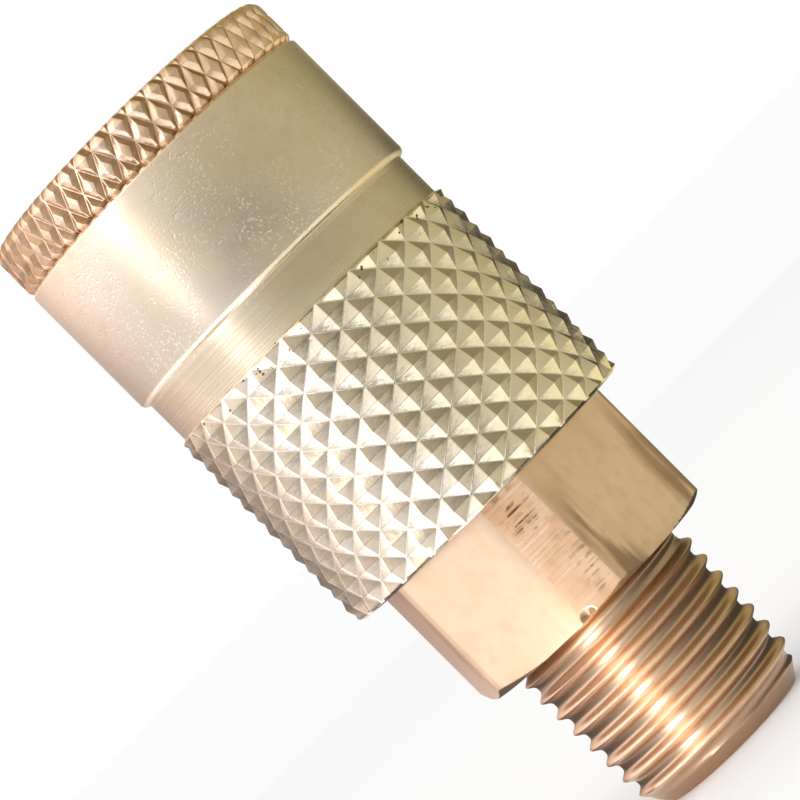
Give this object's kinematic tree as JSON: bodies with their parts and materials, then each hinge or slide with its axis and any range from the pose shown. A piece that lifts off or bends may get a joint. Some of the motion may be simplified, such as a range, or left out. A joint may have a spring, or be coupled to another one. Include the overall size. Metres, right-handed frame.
{
  "type": "pneumatic quick coupling",
  "caption": "Pneumatic quick coupling socket with a knurled sliding release sleeve, a brass hex body and a tapered male pipe thread.",
  "frame": {"origin": "centre of the pipe thread's end face, on which the coupling stands", "axes": "+Z along the axis from the thread to the open end of the socket; -Y faces the ground corner of the hex, about as the picture sees it"},
  "size_m": [0.0228, 0.0228, 0.0536],
  "materials": {
    "brass": "turned brass, lightly worn",
    "plated_steel": "plated steel, turned and knurled",
    "spring_steel": "drawn spring wire",
    "ball_steel": "polished hardened steel",
    "seal_rubber": "moulded nitrile rubber"
  },
  "bodies": {
    "body": {"hex_adapter": "brass", "barrel": "brass", "sleeve_spring": "spring_steel", "spring_washer": "spring_steel", "plug_seal": "seal_rubber", "valve_seat": "brass", "body_o_ring": "seal_rubber", "valve_spring": "spring_steel"},
    "sleeve": {"sleeve": "plated_steel"},
    "valve": {"valve_poppet": "brass", "valve_washer": "seal_rubber"},
    "lock_ball_1": {"lock_ball_1": "ball_steel"},
    "lock_ball_2": {"lock_ball_2": "ball_steel"},
    "lock_ball_3": {"lock_ball_3": "ball_steel"},
    "lock_ball_4": {"lock_ball_4": "ball_steel"},
    "lock_ball_5": {"lock_ball_5": "ball_steel"},
    "lock_ball_6": {"lock_ball_6": "ball_steel"}
  },
  "joints": [
    {"name": "sleeve_slide", "type": "slide", "parent": "body", "child": "sleeve", "axis": [0, 0, -1], "range_m": [0, 0.0032], "stiffness_N_per_m": 2000, "springref_m": -0.005, "deforming": ["sleeve_spring"]},
    {"name": "valve_slide", "type": "slide", "parent": "body", "child": "valve", "axis": [0, 0, -1], "range_m": [0, 0.004], "stiffness_N_per_m": 500, "springref_m": -0.004, "deforming": ["valve_spring"]},
    {"name": "ball_1_rise", "type": "slide", "parent": "body", "child": "lock_ball_1", "axis": [1, 0, 0], "range_m": [0, 0.00101]},
    {"name": "ball_2_rise", "type": "slide", "parent": "body", "child": "lock_ball_2", "axis": [0.5, 0.866, 0], "range_m": [0, 0.00101]},
    {"name": "ball_3_rise", "type": "slide", "parent": "body", "child": "lock_ball_3", "axis": [-0.5, 0.866, 0], "range_m": [0, 0.00101]},
    {"name": "ball_4_rise", "type": "slide", "parent": "body", "child": "lock_ball_4", "axis": [-1, 0, 0], "range_m": [0, 0.00101]},
    {"name": "ball_5_rise", "type": "slide", "parent": "body", "child": "lock_ball_5", "axis": [-0.5, -0.866, 0], "range_m": [0, 0.00101]},
    {"name": "ball_6_rise", "type": "slide", "parent": "body", "child": "lock_ball_6", "axis": [0.5, -0.866, 0], "range_m": [0, 0.00101]}
  ],
  "couplings": [
    {"joint": "ball_1_rise", "follows": "sleeve_slide", "ratio": 0.31406},
    {"joint": "ball_2_rise", "follows": "sleeve_slide", "ratio": 0.31406},
    {"joint": "ball_3_rise", "follows": "sleeve_slide", "ratio": 0.31406},
    {"joint": "ball_4_rise", "follows": "sleeve_slide", "ratio": 0.31406},
    {"joint": "ball_5_rise", "follows": "sleeve_slide", "ratio": 0.31406},
    {"joint": "ball_6_rise", "follows": "sleeve_slide", "ratio": 0.31406}
  ]
}
